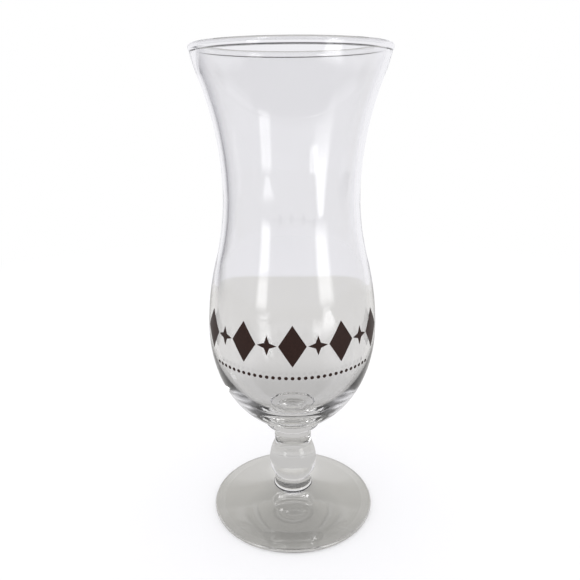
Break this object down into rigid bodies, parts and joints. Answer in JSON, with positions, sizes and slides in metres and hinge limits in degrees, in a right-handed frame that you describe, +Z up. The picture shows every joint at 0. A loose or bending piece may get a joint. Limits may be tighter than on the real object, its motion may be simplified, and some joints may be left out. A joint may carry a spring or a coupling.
{
  "type": "hurricane glass",
  "caption": "Tall footed drinking glass with a round belly, narrow waist, flared lip, ball-knop stem, wide foot and a brown geometric print band.",
  "frame": {"origin": "centre of the foot's resting face, on the glass's axis", "axes": "+Z up along the glass's axis to the mouth, -Y towards the middle of the printed band, +X to the right of the band as seen from its front"},
  "size_m": [0.0784, 0.0784, 0.206],
  "materials": {
    "clear_glass": "clear, fire-polished",
    "brown_enamel": "fired enamel, satin"
  },
  "bodies": {
    "root": {"rim_bead": "clear_glass", "bowl": "clear_glass", "bowl_button": "clear_glass", "neck": "clear_glass", "ball_knop": "clear_glass", "foot_collar": "clear_glass", "foot": "clear_glass", "print_lozenge_1": "brown_enamel", "print_lozenge_2": "brown_enamel", "print_lozenge_3": "brown_enamel", "print_lozenge_4": "brown_enamel", "print_lozenge_5": "brown_enamel", "print_star_1": "brown_enamel", "print_star_2": "brown_enamel", "print_star_3": "brown_enamel", "print_star_4": "brown_enamel", "print_dots": "brown_enamel"}
  },
  "joints": []
}
